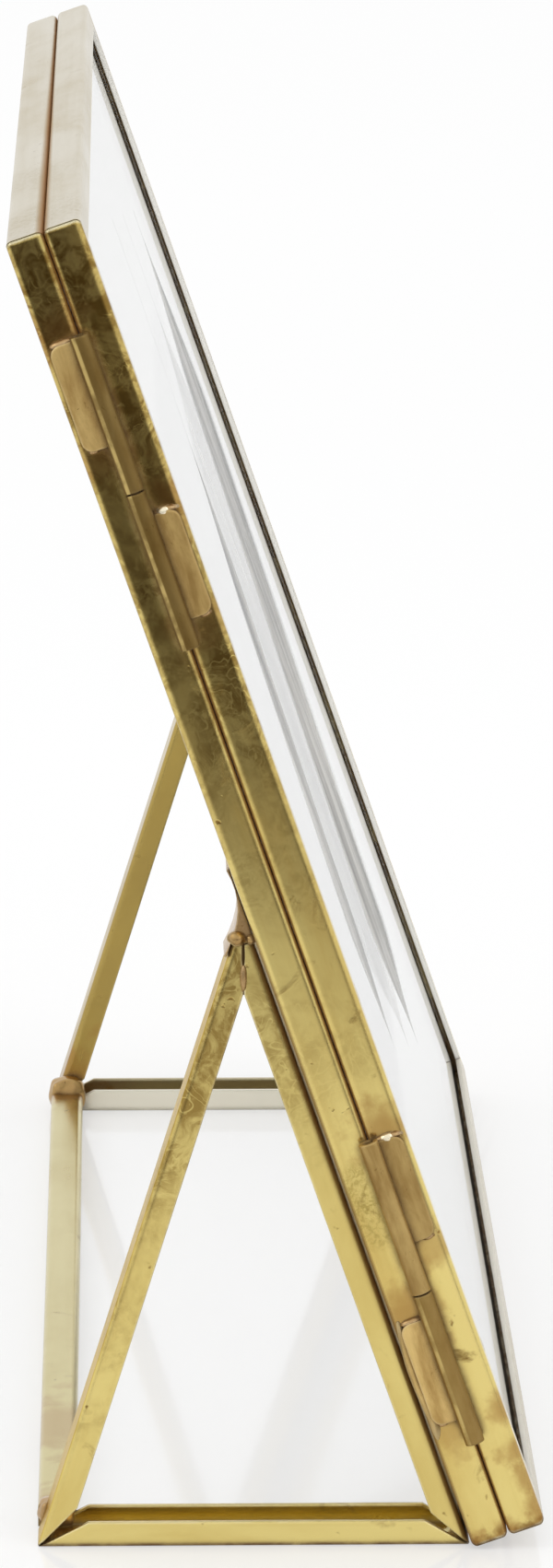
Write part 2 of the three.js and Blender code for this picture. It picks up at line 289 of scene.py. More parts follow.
def turned_coordinates(tree, turn, start=(0.0, 0.0, 0.0)):
    """Object coordinates seen from axes that are turned so, and that start at this point."""
    node = tree.nodes.new("ShaderNodeMapping")
    node.vector_type = "TEXTURE"
    fill(node, Vector=object_coordinates(tree), Location=start, Rotation=turn)
    return node.outputs["Vector"]


def leaf_coordinates(tree):
    """Coordinates from the centre of the leaves: across, behind the seam, and up the slope."""
    return turned_coordinates(tree, TURN_ALONG_LEAF, tuple(leaf_centre))


def axis_values(vector):
    """The three values of these coordinates."""
    return fill(new_node("SeparateXYZ", vector), Vector=vector).outputs[:]


def vector_step(operation, first, second=(0.0, 0.0, 0.0)):
    """One step of arithmetic on coordinates, whose outputs are a Vector and a Value."""
    node = new_node("VectorMath", first)
    node.operation = operation
    give(node.inputs[0], first)
    give(node.inputs[1], second)
    return node.outputs


def stretched(vector, factors):
    """Coordinates that are multiplied along each axis."""
    return vector_step("MULTIPLY", vector, factors)["Vector"]


def noise(vector, scale, detail=4.0, roughness=0.55, distortion=0.0):
    """The value of a noise texture on these coordinates."""
    node = new_node("TexNoise", vector)
    fill(node, Vector=vector, Scale=scale, Detail=detail, Roughness=roughness, Distortion=distortion)
    return node.outputs["Fac"]


def fade(value, low, high, start=0.0, end=1.0):
    """A smooth step from start to end while the value goes from low to high."""
    node = new_node("MapRange", value)
    node.interpolation_type = "SMOOTHSTEP"
    fill(node, Value=value, From_Min=low, From_Max=high, To_Min=start, To_Max=end)
    return node.outputs["Result"]


def blend_colour(share, first, second):
    """A mix of two colours, each a socket or four numbers."""
    node = new_node("Mix", share)
    node.data_type = "RGBA"
    for place, value in ((0, share), (6, first), (7, second)):
        give(node.inputs[place], value)
    return node.outputs[2]


print("helpers for finishes ready")

# %% [markdown]
# The table does not go on for ever towards the camera: past it the room is dim. Polished metal that looks
# that way turns brown, which is why the upper half of the hinge side is much darker than its foot. A cloth
# that goes from pale to dark lies there. Only reflections find it, and it is clear from below, so that the
# table under it stays white.

# %% Dim the room past the table
CLOTH_START = -0.2
CLOTH_DARK_FROM = -0.56
CLOTH_LENGTH = 2.4
CLOTH_LIFT = 0.002
CLOTH_DARK = (0.10, 0.085, 0.07, 1)
CLOTH_PALE = (0.95, 0.95, 0.95, 1)
MATT = {"Roughness": 1.0, "Specular_IOR_Level": 0.0}


def only_reflected(plane, finish):
    """Give a plane its finish, and leave it to be found by reflections alone."""
    plane.data.materials.append(finish)
    plane.visible_camera = False
    plane.visible_diffuse = False
    plane.visible_shadow = False
    plane.visible_transmission = False


cloth = lay_plane("dim_cloth", CLOTH_LENGTH)
cloth.location = (CLOTH_START - CLOTH_LENGTH / 2, 0, CLOTH_LIFT)
bpy.ops.object.transform_apply(location=True, rotation=True, scale=True)
cloth_finish, cloth_tree, cloth_surface = new_finish("dim_cloth")
cloth_depth = axis_values(object_coordinates(cloth_tree))[0]
cloth_tone = fade(cloth_depth, CLOTH_DARK_FROM, CLOTH_START)
cloth_colour = blend_colour(cloth_tone, CLOTH_DARK, CLOTH_PALE)
cloth_face = cloth_tree.nodes.new("ShaderNodeNewGeometry")
cloth_top = minus(1.0, cloth_face.outputs["Backfacing"])
fill(cloth_surface, Base_Color=cloth_colour, Alpha=cloth_top, **MATT)
only_reflected(cloth, cloth_finish)
print("cloth dims from x =", CLOTH_START, "to", CLOTH_DARK_FROM)

# %% [markdown]
# Glass that is seen almost edge on is mainly a mirror, and in the picture it carries soft grey streaks. A
# grey flag stands past the far edge, where only reflections find it. It slopes with the leaves, and its
# distance in front of the pane decides where its mirror image crosses the glass.

# %% Set the grey flag
FLAG_PAST_EDGE = 0.02
FLAG_DEEPEST = 10.0 * MILLIMETRE
FLAG_FOOT_SHARE = 0.97
FLAG_TOP_SHARE = 0.6

pane_front = reach_along("front_glass", leaf_rearward, leaf_centre)[0]
flag_side = catch_face + FLAG_PAST_EDGE - leaf_centre.x
flag_foot = -FLAG_FOOT_SHARE * leaf_centre.z / leaf_up.z
flag_top = FLAG_TOP_SHARE * leaf_half_height
flag_middle = on_leaf(flag_side, pane_front - FLAG_DEEPEST / 2, (flag_top + flag_foot) / 2)
flag = lay_plane("grey_flag", 1.0)
flag_turn = Matrix((leaf_rearward, leaf_up, leaf_rearward.cross(leaf_up))).transposed().to_4x4()
flag_size = Matrix.Diagonal((FLAG_DEEPEST, flag_top - flag_foot, 1.0, 1.0))
flag.matrix_world = Matrix.Translation(flag_middle) @ flag_turn @ flag_size
bpy.ops.object.transform_apply(location=True, rotation=True, scale=True)
print("flag", round(flag_top - flag_foot, 3), "m long")

# %% [markdown]
# The flag carries three soft wedges: a broad dark one, a narrow one further from the pane, and a pale veil
# that joins them. Each is a distance from the pane that grows a little towards the foot. They run out to
# points and are clear at their edges, so that the mirror image has no hard outline.

# %% Finish: grey flag
BROAD_WEDGE = {"middle": (4.4, 3.0), "half": (1.25, 1.0), "top": 40.0, "cover": 0.95}
NARROW_WEDGE = {"middle": (7.3, 5.8), "half": (0.65, 0.45), "top": 14.0, "cover": 0.85}
PALE_VEIL = {"middle": (5.6, 4.4), "half": (2.2, 1.7), "top": 30.0, "cover": 0.3}
FOOT_TAPER = 18.0 * MILLIMETRE
TOP_TAPER = 26.0 * MILLIMETRE
WEDGE_POINT = 0.01 * MILLIMETRE
WEDGE_FULL = 0.55
FLAG_STREAKS = (1.0, 1300.0, 16.0)
FLAG_GREY = (0.34, 0.34, 0.35, 1)
FLAG_PALE = (0.85, 0.85, 0.85, 1)

flag_finish, flag_tree, flag_surface = new_finish("grey_flag")
flag_place = leaf_coordinates(flag_tree)
flag_streak = noise(stretched(flag_place, FLAG_STREAKS), 1.0, 4.0, 0.65)
flag_colour = blend_colour(fade(flag_streak, 0.32, 0.68), FLAG_GREY, FLAG_PALE)
flag_depth, flag_height = axis_values(flag_place)[1:]
from_pane = minus(pane_front, flag_depth)


def millimetres(*values):
    """These millimetres in metres."""
    return [MILLIMETRE * value for value in values]


def wedge_cover(wedge):
    """How much a wedge covers. Its pairs of millimetres are for the foot and for the top of the flag."""
    top = MILLIMETRE * wedge["top"]
    middle_here = fade(flag_height, flag_foot, flag_top, *millimetres(*wedge["middle"]))
    half_here = fade(flag_height, flag_foot, flag_top, *millimetres(*wedge["half"]))
    from_foot = fade(flag_height, flag_foot, flag_foot + FOOT_TAPER)
    to_top = fade(flag_height, top - TOP_TAPER, top, 1.0, 0.0)
    tapered = times(half_here, times(from_foot, to_top))
    off_middle = unsigned(minus(from_pane, middle_here))
    share = sums("DIVIDE", off_middle, plus(tapered, WEDGE_POINT))
    return fade(share, WEDGE_FULL, 1.0, wedge["cover"], 0.0)


covers = [wedge_cover(wedge) for wedge in (PALE_VEIL, BROAD_WEDGE, NARROW_WEDGE)]
fill(flag_surface, Base_Color=flag_colour, Alpha=largest(*covers), **MATT)
only_reflected(flag, flag_finish)
print("flag with", len(covers), "wedges")

# %% [markdown]
# An effect that several finishes share is a node group. These helpers start a group with named inputs, give
# it its outputs when it is done, and place it in a material.

# %% Helpers: groups
VECTOR = "NodeSocketVector"
COLOUR = "NodeSocketColor"
NUMBER = "NodeSocketFloat"
SOCKET_KINDS = {"VECTOR": VECTOR, "RGBA": COLOUR, "VALUE": NUMBER}


def start_group(name, **inputs):
    """An empty shader group, and the sockets at which its named inputs arrive."""
    group = bpy.data.node_groups.new(name, "ShaderNodeTree")
    for socket_name, kind in inputs.items():
        group.interface.new_socket(socket_name.replace("_", " "), in_out="INPUT", socket_type=kind)
    inlet = group.nodes.new("NodeGroupInput")
    return group, *inlet.outputs[:len(inputs)]


def finish_group(group, **results):
    """Name what a group gives back, and link it to the way out."""
    for socket_name, value in results.items():
        group.interface.new_socket(socket_name, in_out="OUTPUT", socket_type=SOCKET_KINDS[value.type])
    fill(group.nodes.new("NodeGroupOutput"), **results)
    print("group", group.name)


def place_group(group, **values):
    """The outputs of a group that is placed beside what it gets, with these values on its inputs."""
    node = new_node("Group", *values.values())
    node.node_tree = group
    return fill(node, **values).outputs


print("helpers for groups ready")

# %% [markdown]
# Brass ages in layers. Broad clouds of amber tarnish come first, drawn out along the bar, then small spots
# where flux or a finger sat, and under it all run the fine lines of the rolled sheet. One group holds the
# three, so every brass finish shares the same ageing with its own colours and amounts. Its coordinates have
# Z along the bar.

# %% Group: brass ageing
SHEET_LINES = (650.0, 650.0, 14.0)
CLOUD_STRETCH = (1.0, 1.0, 0.35)
CLOUD_SCALE = 95.0
SPOT_SCALE = 210.0
PIT_SCALE = 640.0


def weighted(*pairs):
    """These values added up, each multiplied by its weight."""
    return plus(*[times(value, weight) for value, weight in pairs])


ageing, place, clean, aged, stain, age, spots, dull = start_group(
    "Brass ageing", Vector=VECTOR, Clean=COLOUR, Aged=COLOUR, Stain=COLOUR,
    Age=NUMBER, Spots=NUMBER, Dull=NUMBER,
)
cloud = noise(stretched(place, CLOUD_STRETCH), CLOUD_SCALE, 6.0, 0.6, 0.3)
cloud_mask = fade(plus(cloud, age), 0.72, 1.25)
spot = noise(place, SPOT_SCALE, 5.0, 0.6, 0.8)
spot_mask = fade(plus(spot, spots), 0.95, 1.15)
pit_mask = fade(noise(place, PIT_SCALE, 2.0), 0.72, 0.8)
line = noise(stretched(place, SHEET_LINES), 1.0, 3.0, 0.6)
line_mask = fade(line, 0.5, 0.85, 0.0, 0.3)
toned = blend_colour(cloud_mask, clean, aged)
lined = blend_colour(line_mask, toned, aged)
spotted = blend_colour(spot_mask, lined, stain)
pitted = blend_colour(pit_mask, spotted, stain)
dulled = weighted((cloud_mask, 0.12), (spot_mask, 0.24), (line, 0.1))
raised = weighted((line, 0.25), (spot_mask, 0.35), (cloud, 0.4))
finish_group(ageing, Color=pitted, Roughness=plus(dulled, dull), Height=minus(raised, pit_mask))

# %% [markdown]
# A fold in sheet brass is never knife sharp, and hands polish it first. The Bevel node rounds the shading
# of an edge without touching the solid. Where the rounded normal leaves the true one, the metal is worn
# bright and also carries a painted highlight, so one group gives both the normal and the worn, highlit mask.

# %% Group: worn and highlit folds
RAYS_PER_POINT = 6
RUB_AND_SHEEN_SCALE = 180.0

folds_worn_and_highlit, place, radius = start_group("Worn folds", Vector=VECTOR, Radius=NUMBER)
rounded = fill(new_node("Bevel", radius), Radius=radius)
rounded.samples = RAYS_PER_POINT
fold_normal = rounded.outputs["Normal"]
true_normal = folds_worn_and_highlit.nodes.new("ShaderNodeNewGeometry").outputs["True Normal"]
facing = vector_step("DOT_PRODUCT", fold_normal, true_normal)["Value"]
turned_mask = fade(minus(1.0, facing), 0.012, 0.14)
rub_and_sheen_mask = fade(noise(place, RUB_AND_SHEEN_SCALE, 4.0), 0.32, 0.58, 0.3, 1.0)
finish_group(folds_worn_and_highlit, Normal=fold_normal, Worn=times(turned_mask, rub_and_sheen_mask))

# %% [markdown]
# Flux and dust stay in the angle between two pieces, where no cloth gets at them. Shade falls in those angles
# and where a bar stands on the table, so the mask is painted shade as well as grime. The Ambient Occlusion
# node finds those angles on any pair of solids, however they meet, so no line has to be drawn by hand.

# %% Group: joint shade and grime
JOINT_PATCH_SCALE = 260.0

joint_shade_and_grime, place, reach = start_group("Joint shade and grime", Vector=VECTOR, Reach=NUMBER)
openness = fill(new_node("AmbientOcclusion", reach), Distance=reach)
openness.samples = RAYS_PER_POINT
joint_patch = noise(place, JOINT_PATCH_SCALE, 4.0, 0.6)
joint_cover = fade(joint_patch, 0.25, 0.6, 0.45, 1.0)
closed_in = fade(openness.outputs["AO"], 0.42, 0.86, 1.0, 0.0)
finish_group(joint_shade_and_grime, Mask=times(closed_in, joint_cover))

# %% [markdown]
# A soldering iron leaves a brown halo round each joint. The halo is a distance from a point with a ragged
# rim, so it follows the surface of any piece that comes near the joint.

# %% Group: heat halo
HALO_RAGGED = 300.0


def share_of_reach(place, centre, reach):
    """How far a place is from a centre, as a share of a reach."""
    return sums("DIVIDE", vector_step("DISTANCE", place, centre)["Value"], reach)


heat_halo, place, centre, reach, depth = start_group(
    "Heat halo", Vector=VECTOR, Centre=VECTOR, Reach=NUMBER, Depth=NUMBER,
)
ragged_rim = fade(noise(place, HALO_RAGGED, 5.0, 0.6), 0.25, 0.75, 0.5, 1.5)
ragged_share = times(share_of_reach(place, centre, reach), ragged_rim)
browned = fade(ragged_share, 0.25, 1.1, 1.0, 0.0)
finish_group(heat_halo, Mask=times(browned, depth))

# %% [markdown]
# The inside of the slot that holds the glass is painted almost black, as shade in that recess. The mask is
# about the space inside the folded sheet, measured from the centre of the leaves, so it leaves the sheared
# lips and every outer face alone. A second mask marks the rim of the seam between the leaves, painted amber
# as the shade of the narrow gap, and a third the sheared lips, which are painted pale as a highlight.

# %% Group: slot shade and highlight
SKIN_BLUR = 0.05 * MILLIMETRE
RIM_DEPTH = 1.5 * MILLIMETRE
PANE_GAP = 0.28 * MILLIMETRE

pane_face = reach_along("back_glass", leaf_rearward, leaf_centre)[0]
skin = channel_half - abs(channel_middle - pane_face) - PANE_GAP
lip_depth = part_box("back_hinge_bar")[1].x - hinge_face - 2 * SKIN_BLUR


def inside(value, limit):
    """One where a value stays under a limit."""
    return fade(value, limit - SKIN_BLUR, limit + SKIN_BLUR, 1.0, 0.0)


slot_shade_and_highlight, place, hinge_side, catch_side = start_group(
    "Slot shade and highlight", Vector=VECTOR, Hinge_side=NUMBER, Catch_side=NUMBER,
)
across, behind, up = axis_values(place)
from_seam = unsigned(behind)
from_channel = unsigned(minus(from_seam, channel_middle))
in_skin = []
on_rim = []
in_lip = []
for distance, half in ((unsigned(across), leaf_half_width), (unsigned(up), leaf_half_height)):
    in_skin.append(inside(distance, half - skin))
    on_rim.append(fade(distance, half - RIM_DEPTH, half - RIM_DEPTH / 2))
    in_lip.append(inside(distance, half - lip_depth))
in_channel = inside(from_channel, channel_half - skin + SKIN_BLUR)
to_catch = fade(across, -leaf_half_width, leaf_half_width)
seam_width_change = times(to_catch, minus(catch_side, hinge_side))
seam_share = sums("DIVIDE", from_seam, plus(hinge_side, seam_width_change))
in_seam = fade(seam_share, 0.0, 1.0, 1.0, 0.0)
finish_group(
    slot_shade_and_highlight, Mask=times(*in_skin, in_channel), Seam=times(in_seam, largest(*on_rim)),
    Lip=times(*in_lip),
)

# %% [markdown]
# Painted shade and highlight go over the brass as a layer, like dirt: a function that takes the colour and
# the dirt and shade so far and returns them changed, so that a finish simply lists the layers it wants. Dirt,
# painted shade and the painted lips are not metal: where they lie, the surface is matt.

# %% Layer: painted shade and highlight in the slot
# Painted shade for the slot and the seam, and a painted highlight for the sheared lips.
SLOT_SHADE_BLACK = (0.05, 0.042, 0.032, 1)
SEAM_SHADE_AMBER = (0.34, 0.155, 0.03, 1)
LIP_HIGHLIGHT_PALE = (0.90, 0.88, 0.82, 1)


def slot_layer(hinge_side, catch_side):
    """Painted shade in slot and seam and a painted highlight on the lips; the seam shade is this wide at each
    side.
    """
    def shade_slot(tree, colour, dirt_and_shade):
        place = leaf_coordinates(tree)
        slot = place_group(slot_shade_and_highlight, Vector=place, Hinge_side=hinge_side, Catch_side=catch_side)
        colour = blend_colour(slot["Seam"], colour, SEAM_SHADE_AMBER)
        colour = blend_colour(slot["Mask"], colour, SLOT_SHADE_BLACK)
        lip = times(slot["Lip"], minus(1.0, slot["Mask"]))
        colour = blend_colour(lip, colour, LIP_HIGHLIGHT_PALE)
        return colour, largest(dirt_and_shade, slot["Seam"], slot["Mask"], slot["Lip"])
    return shade_slot


print("slot layer ready")

# %% [markdown]
# The front bars of the stand are soldered flat against the back leaf. Shade is painted brown along that
# joint, darkest where the two touch. The mask is the distance from the rear face of the leaf, and it stops
# where the stand does.

# %% Group and layer: contact shade
CONTACT_END = 2.0 * MILLIMETRE
# The brown of the painted shade at the joint, which the foot layer also uses for dried flux.
SHADE_AND_FLUX_BROWN = (0.21, 0.10, 0.022, 1)

front_bar_top = reach_along("near_stand_front_bar", leaf_up, leaf_centre)[1]
contact_shade, place, reach = start_group("Contact shade", Vector=VECTOR, Reach=NUMBER)
behind, up = axis_values(place)[1:]
from_contact = unsigned(minus(behind, channel_far))
contact_share = sums("DIVIDE", from_contact, reach)
contact_near = fade(contact_share, 0.0, 1.0, 0.85, 0.0)
contact_below = fade(up, front_bar_top, front_bar_top + CONTACT_END, 1.0, 0.0)
finish_group(contact_shade, Mask=times(contact_near, contact_below))


def contact_shade_layer(reach, matt_share):
    """A layer of painted shade up to this far from the joint of leaf and stand, more or less matt."""
    def shade_contact(tree, colour, dirt_and_shade):
        mask = place_group(contact_shade, Vector=leaf_coordinates(tree), Reach=reach)["Mask"]
        colour = blend_colour(mask, colour, SHADE_AND_FLUX_BROWN)
        return colour, largest(dirt_and_shade, times(mask, matt_share))
    return shade_contact


# %% [markdown]
# Here and there the flux boiled over and dried to a crust of dark grains. The patch is a distance from a
# point, and fine noise breaks it into grains.

# %% Group and layer: flux crust
CRUST_GRAIN = 1900.0
CRUST_OLIVE = (0.33, 0.24, 0.055, 1)

flux_crust, place, centre, reach = start_group("Flux crust", Vector=VECTOR, Centre=VECTOR, Reach=NUMBER)
crust_share = share_of_reach(place, centre, reach)
crust_patch = fade(crust_share, 0.45, 1.0, 1.0, 0.0)
crust_grain = noise(place, CRUST_GRAIN, 3.0, 0.6, 1.0)
crust_grains = fade(crust_grain, 0.42, 0.66, 0.15, 0.6)
finish_group(flux_crust, Mask=times(crust_patch, crust_grains))


def crust_layer(spots):
    """A layer of crust on these spots, each a centre and a reach."""
    def add_crust(tree, colour, dirt_and_shade):
        for centre, reach in spots:
            place = object_coordinates(tree)
            crust = place_group(flux_crust, Vector=place, Centre=tuple(centre), Reach=reach)
            colour = blend_colour(crust["Mask"], colour, CRUST_OLIVE)
        return colour, dirt_and_shade
    return add_crust


# %% [markdown]
# Three layers belong to one place each, so they need no group: flux that dried along the foot of a leaf, the
# darker barrels of the hinges, browner higher up with painted shade and carrying a painted highlight line,
# and a painted reflection of the white table that makes one face of a stand bar pale.

# %% Layers: foot, barrel and near face
FOOT_STAIN = 1.1 * MILLIMETRE
FOOT_RAGGED = 420.0
BARREL_OLIVE = (0.235, 0.145, 0.04, 1)
# Browner on the upper hinge: painted shade for the dim room that the metal reflects.
BARREL_UPPER_SHADE = (0.13, 0.078, 0.019, 1)
BARREL_CLIMB = (0.045, 0.085)
BARREL_EDGE = (1.02 * barrel_radius, 1.3 * barrel_radius)
# A painted highlight line along the rear shoulder of the barrel.
CREST_HIGHLIGHT_GOLD = (0.66, 0.50, 0.19, 1)
CREST_ANGLE = math.radians(38)
CREST_EDGE = (0.95 * barrel_radius, 0.99 * barrel_radius)
CREST_BREAK = 420.0
NEAR_FACE_DEPTH = 0.5 * MILLIMETRE


def foot_layer(tree, colour, dirt_and_shade):
    """Dried flux with a ragged rim along the lower edge of a leaf."""
    from_foot = axis_values(leaf_coordinates(tree))[2]
    ragged_foot = noise(object_coordinates(tree), FOOT_RAGGED, 4.0, 0.6)
    ragged_step = fade(ragged_foot, 0.3, 0.7, -FOOT_STAIN / 2, FOOT_STAIN / 2)
    rim_height = plus(from_foot, ragged_step)
    on_foot = fade(rim_height, -leaf_half_height, FOOT_STAIN - leaf_half_height, 0.85, 0.0)
    return blend_colour(on_foot, colour, SHADE_AND_FLUX_BROWN), dirt_and_shade


def barrel_layer(tree, colour, dirt_and_shade):
    """A darker barrel, browner on the upper hinge as painted shade, with a painted highlight along its rear
    shoulder.
    """
    from_axis = turned_coordinates(tree, TURN_ALONG_LEAF, tuple(hinge_foot))
    beside = vector_step("LENGTH", stretched(from_axis, (1.0, 1.0, 0.0)))["Value"]
    on_barrel = fade(beside, *BARREL_EDGE, 0.8, 0.0)
    height = axis_values(object_coordinates(tree))[2]
    barrel_tone = blend_colour(fade(height, *BARREL_CLIMB), BARREL_OLIVE, BARREL_UPPER_SHADE)
    colour = blend_colour(on_barrel, colour, barrel_tone)
    crest_direction = (-math.cos(CREST_ANGLE), math.sin(CREST_ANGLE), 0.0)
    crest_x, crest_y = axis_values(stretched(from_axis, crest_direction))[:2]
    crest = fade(plus(crest_x, crest_y), *CREST_EDGE)
    crest_highlight_breaks = fade(noise(object_coordinates(tree), CREST_BREAK), 0.36, 0.6, 0.25, 1.0)
    on_crest = times(crest, crest_highlight_breaks, on_barrel)
    return blend_colour(on_crest, colour, CREST_HIGHLIGHT_GOLD), dirt_and_shade


def near_face_reflection_layer(face, tone):
    """A painted reflection of the white table on the face that looks towards the hinge side, at this place
    across.
    """
    def paint_face_reflection(tree, colour, dirt_and_shade):
        across_bar = axis_values(object_coordinates(tree))[0]
        on_face = inside(across_bar, face + NEAR_FACE_DEPTH)
        return blend_colour(on_face, colour, tone), dirt_and_shade
    return paint_face_reflection


print("layers ready")

# %% [markdown]
# Some bars are much browner towards the top: partly patina, partly painted shade for the dim room that the
# upper metal reflects. The brown begins at an uneven height, is mottled and flecked, and fine curls of bare
# metal show where it was scratched. Each of these is a noise of its own size.

# %% Mask: climbing shade and patina
CLIMB_WAVER = 0.03
UNEVEN_SCALE = 70.0
MOTTLE_SCALE = 380.0
FLECK_SCALE = 560.0
CURL_SCALE = 250.0


def climb_shade_and_patina(place, along, low, high):
    """Painted shade and patina that grow between two heights, mottled, flecked and scratched by fine curls.
    """
    height = axis_values(place)[2]
    uneven = noise(along, UNEVEN_SCALE, 5.0, 0.6, 0.6)
    wavering = plus(height, fade(uneven, 0.2, 0.8, -CLIMB_WAVER, CLIMB_WAVER))
    mottle = noise(along, MOTTLE_SCALE, 6.0, 0.68, 1.0)
    fleck = noise(along, FLECK_SCALE, 3.0, 0.6, 2.0)
    flecked = fade(fleck, 0.6, 0.68, 1.0, 0.55)
    mottled = times(fade(mottle, 0.36, 0.62, 0.25, 1.0), flecked)
    curl = noise(along, CURL_SCALE, 1.0, 0.5, 2.5)
    off_curl = unsigned(minus(curl, 0.5))
    curl_line = fade(off_curl, 0.008, 0.03, 1.0, 0.0)
    scratched = times(curl_line, fade(uneven, 0.48, 0.58, 0.0, 0.7))
    kept = times(mottled, minus(1.0, scratched))
    return times(fade(wavering, low, high), kept)


print("climbing brown wavers by", CLIMB_WAVER, "m")

# %% [markdown]
# One recipe makes every brass: it turns the coordinates so that Z runs along the bar, ages the metal, browns
# it towards the top with patina and painted shade and near the heat, wears the folds bright with a painted
# highlight, and lays dirt and painted shade over it. What differs between the bars is their direction, their
# colours, where the heat was, and their layers.

# %% Recipe: drawn brass
FOLD_RADIUS = 0.4 * MILLIMETRE
BUMP_DEPTH = 0.06 * MILLIMETRE
BUMP_STRENGTH = 0.5
JOINT_SHADE_REACH = 1.3 * MILLIMETRE
# Painted shade and grime in the angles between pieces and where a bar meets the table.
SHADE_AND_GRIME_BROWN = (0.17, 0.092, 0.026, 1)
HEAT_BROWN = (0.38, 0.21, 0.06, 1)
DIRT_AND_SHADE_METAL = 0.1
DIRT_AND_SHADE_MATT = 0.5


def brass_recipe(
    name, turn, tones, age, spots, dull, halos=(), climb=None, layers=(), grain=1.0, edge_tint=None,
):
    """A drawn brass finish in four tones: clean, aged, stained, and worn bright with a painted highlight."""
    finish, tree, shader = new_finish(name)
    place = object_coordinates(tree)
    along = stretched(turned_coordinates(tree, turn), (grain, grain, grain))
    # The fourth tone of each set is the worn fold, bright from wear and as a painted highlight.
    clean, aged, stain, worn_highlight = [(*tone, 1) for tone in tones]
    metal = place_group(
        ageing, Vector=along, Clean=clean, Aged=aged, Stain=stain, Age=age, Spots=spots, Dull=dull,
    )
    colour = metal["Color"]
    if climb:
        low, high, climb_colour = climb
        colour = blend_colour(climb_shade_and_patina(place, along, low, high), colour, climb_colour)
    for centre, reach, depth in halos:
        halo = place_group(heat_halo, Vector=place, Centre=tuple(centre), Reach=reach, Depth=depth)
        colour = blend_colour(halo["Mask"], colour, HEAT_BROWN)
    folds = place_group(folds_worn_and_highlit, Vector=place, Radius=FOLD_RADIUS)
    colour = blend_colour(folds["Worn"], colour, worn_highlight)
    # Painted shade and grime where pieces meet; both leave the surface matt.
    dirt_and_shade = place_group(joint_shade_and_grime, Vector=place, Reach=JOINT_SHADE_REACH)["Mask"]
    colour = blend_colour(dirt_and_shade, colour, SHADE_AND_GRIME_BROWN)
    for layer in layers:
        colour, dirt_and_shade = layer(tree, colour, dirt_and_shade)
    bump = fill(new_node("Bump", colour), Height=metal["Height"], Normal=folds["Normal"])
    fill(bump, Strength=BUMP_STRENGTH, Distance=BUMP_DEPTH)
    fill(
        shader, Base_Color=colour, Metallic=fade(dirt_and_shade, 0.0, 1.0, 1.0, DIRT_AND_SHADE_METAL),
        Roughness=plus(metal["Roughness"], times(dirt_and_shade, DIRT_AND_SHADE_MATT)),
        Normal=bump.outputs["Normal"],
    )
    if edge_tint:
        fill(shader, Specular_Tint=edge_tint)
    return finish


def dress(finish, *names):
    """Give this finish to the solids named."""
    for name in names:
        nodes[name].material_slots[0].material = finish
    print(finish.name, "on", ", ".join(names))


print("recipe ready")

# %% [markdown]
# The tabs of the hinges are where the iron was, so their places are measured first. A tab is the part of a
# knuckle that lies outside the barrel.

# %% Find the tabs
PAST_BARREL = 1.2 * barrel_radius


def tab_extent(knuckle):
    """A tab's outer end behind the seam, and its lower and upper ends up the leaf."""
    offsets = [vertex.co - leaf_centre for vertex in nodes[knuckle].data.vertices]
    flat = [offset for offset in offsets if abs(offset.dot(leaf_rearward)) > PAST_BARREL]
    outer = max((offset.dot(leaf_rearward) for offset in flat), key=abs)
    ups = [offset.dot(leaf_up) for offset in flat]
    return outer, min(ups), max(ups)


tabs = {}
for tab in ("upper_back", "upper_front", "lower_back", "lower_front"):
    tabs[tab] = tab_extent(tab + "_knuckle")
    print(tab, "tab", [round(value / MILLIMETRE, 1) for value in tabs[tab]], "mm")

# %% [markdown]
# Heat browned the corners where the mitres were soldered, the brass above and below each tab, and a stretch
# of the front edge near the foot. Crust sits beside the tabs and on the top rails. A halo is a place, a
# reach and a depth, and a spot of crust a place and a reach.

# %% Mark the heat and the crust on the leaves
CORNER_HALO = (2.2 * MILLIMETRE, 0.9)
ABOVE_TAB = 0.8 * MILLIMETRE
ABOVE_TAB_HALO = (4.2 * MILLIMETRE, 0.75)
BELOW_TAB = 0.6 * MILLIMETRE
BELOW_TAB_HALO = (3.4 * MILLIMETRE, 0.55)
EDGE_HALO = (2.1 * MILLIMETRE, 0.7)
EDGE_SHARES = (-0.97, -0.93, -0.88, -0.82)
FRONT_CRUST = 3.4 * MILLIMETRE
FRONT_CRUST_FROM_TOP = 4.0 * MILLIMETRE
FRONT_CRUST_FROM_FOOT = 3.0 * MILLIMETRE
BACK_CRUST = 2.6 * MILLIMETRE
BACK_CRUST_BELOW = 6.0 * MILLIMETRE
RAIL_CRUST = 11.0 * MILLIMETRE
RAIL_CRUST_PLACES = ((-0.86, -channel_middle), (-0.93, channel_middle), (-0.55, channel_far))


def on_hinge_side(behind, up):
    """A point on the hinge side of the leaves."""
    return on_leaf(-leaf_half_width, behind, up)


corner_halos = [
    (on_leaf(side * leaf_half_width, behind, -leaf_half_height), *CORNER_HALO)
    for side in (-1, 1)
    for behind in (-channel_far, -channel_near, channel_far)
]
tab_halos = []
for outer, low, high in tabs.values():
    tab_halos.append((on_hinge_side(outer / 2, high + ABOVE_TAB), *ABOVE_TAB_HALO))
    tab_halos.append((on_hinge_side(outer / 2, low - BELOW_TAB), *BELOW_TAB_HALO))
edge_halos = [(on_hinge_side(-channel_far, share * leaf_half_height), *EDGE_HALO) for share in EDGE_SHARES]
lower_front_low, lower_front_high = tabs["lower_front"][1:]
upper_back_low = tabs["upper_back"][1]
stile_spots = [
    (on_hinge_side(channel_middle, lower_front_high - FRONT_CRUST_FROM_TOP), FRONT_CRUST),
    (on_hinge_side(channel_middle, lower_front_low + FRONT_CRUST_FROM_FOOT), FRONT_CRUST),
    (on_hinge_side(channel_near, upper_back_low - BACK_CRUST_BELOW), BACK_CRUST),
]
rail_spots = [
    (on_leaf(share * leaf_half_width, behind, leaf_half_height), RAIL_CRUST)
    for share, behind in RAIL_CRUST_PLACES
]
